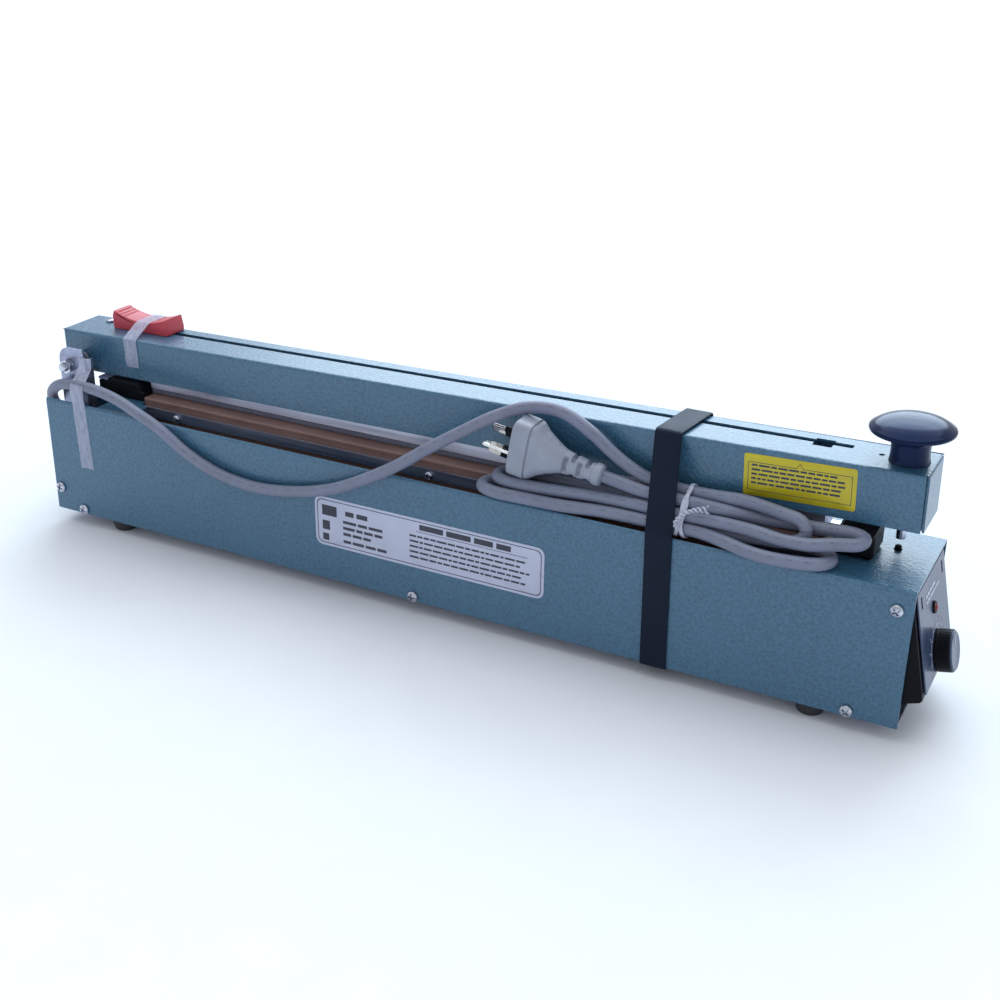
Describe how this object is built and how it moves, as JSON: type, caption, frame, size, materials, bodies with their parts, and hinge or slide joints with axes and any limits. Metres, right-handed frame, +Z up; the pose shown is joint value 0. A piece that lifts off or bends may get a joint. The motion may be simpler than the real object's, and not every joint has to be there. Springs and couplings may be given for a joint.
{
  "type": "impulse heat sealer",
  "caption": "Hand-pressed bench impulse heat sealer with a hinged arm, a sliding film cutter, a timer on its end and its mains lead tied up.",
  "frame": {"origin": "on the surface it stands on, under the middle of its outside box without the lead", "axes": "+X along the sealer from its hinge to its timer, -Y its front, +Z up"},
  "size_m": [0.5855, 0.0789, 0.1559],
  "materials": {
    "hammertone_paint": "glossy hammered enamel",
    "zinc": "zinc plate",
    "steel": "bright",
    "spring_steel": "oiled",
    "aluminium": "satin extrusion",
    "glass_tape": "woven glass tape",
    "nichrome": "flat ribbon",
    "ptfe_cloth": "smooth coated glass cloth",
    "silicone": "matt",
    "black_plastic": "fine grain",
    "navy_plastic": "glossy",
    "coral_plastic": "satin",
    "panel_film": "silver printed film",
    "core_iron": "laminated",
    "winding_tape": "taped winding",
    "circuit_board": "solder mask",
    "foot_rubber": "matt",
    "grey_vinyl": "soft vinyl",
    "plug_vinyl": "moulded vinyl",
    "plug_metal": "nickel plate",
    "black_elastic": "woven elastic",
    "tie_plastic": "coated wire"
  },
  "bodies": {
    "base": {"base_shell": "hammertone_paint", "bottom_plate": "zinc", "left_end_plate": "hammertone_paint", "rubber_foot_front_left": "foot_rubber", "rubber_foot_front_right": "foot_rubber", "rubber_foot_rear_left": "foot_rubber", "rubber_foot_rear_right": "foot_rubber", "screw_front_end_plate": "steel", "screw_front_floor_left": "steel", "screw_front_floor_middle": "steel", "screw_front_floor_right": "steel", "screw_front_timer": "steel", "screw_rear_floor_middle": "steel", "screw_rear_timer": "steel", "seal_bar": "aluminium", "insulation_strip": "glass_tape", "heating_element": "nichrome", "ptfe_cover": "ptfe_cloth", "clamp_strip": "aluminium", "clamp_screw_left": "steel", "clamp_screw_middle": "steel", "clamp_screw_right": "steel", "end_block_left": "black_plastic", "end_block_right": "black_plastic", "bar_support_left": "zinc", "bar_support_right": "zinc", "hinge_bracket": "zinc", "hinge_bolt": "steel", "hinge_nut": "steel", "return_spring": "spring_steel", "transformer_core": "core_iron", "transformer_coil": "winding_tape", "microswitch": "black_plastic", "timer_housing": "black_plastic", "timer_panel": "panel_film", "indicator_lamp": "coral_plastic", "potentiometer": "zinc", "timer_board": "circuit_board", "cord_gland": "foot_rubber", "power_cord": "grey_vinyl", "cord_hank": "grey_vinyl", "plug_lead": "grey_vinyl", "plug_body": "plug_vinyl", "plug_pin_live": "plug_metal", "plug_pin_neutral": "plug_metal", "plug_pin_earth": "plug_metal", "twist_tie": "tie_plastic", "retaining_strap": "black_elastic"},
    "arm": {"arm_shell": "hammertone_paint", "arm_screw": "steel", "handle_knob": "navy_plastic", "handle_stud": "steel", "pressure_bar": "aluminium", "silicone_facing": "silicone"},
    "cutter": {"cutter_slider": "coral_plastic", "blade_holder": "black_plastic", "cutter_blade": "steel"},
    "knob": {"timer_knob": "black_plastic", "timer_knob_cap": "panel_film"},
    "plunger": {"switch_plunger": "coral_plastic"}
  },
  "joints": [
    {"name": "arm_hinge", "type": "hinge", "parent": "base", "child": "arm", "pos_m": [-0.2681, 0.00975, 0.1032], "axis": [0, -1, 0], "range_deg": [0, 24], "deforming": ["retaining_strap", "return_spring"]},
    {"name": "cutter_slide", "type": "slide", "parent": "arm", "child": "cutter", "axis": [0.9997, 0, 0.0226], "range_m": [0, 0.425]},
    {"name": "timer_knob_turn", "type": "hinge", "parent": "base", "child": "knob", "pos_m": [0.27336, 0, 0.03797], "axis": [-0.9778, 0, -0.2096], "range_deg": [0, 270]},
    {"name": "switch_press", "type": "slide", "parent": "base", "child": "plunger", "axis": [0, 0, -1], "range_m": [0, 0.0015], "stiffness_N_per_m": 300}
  ]
}
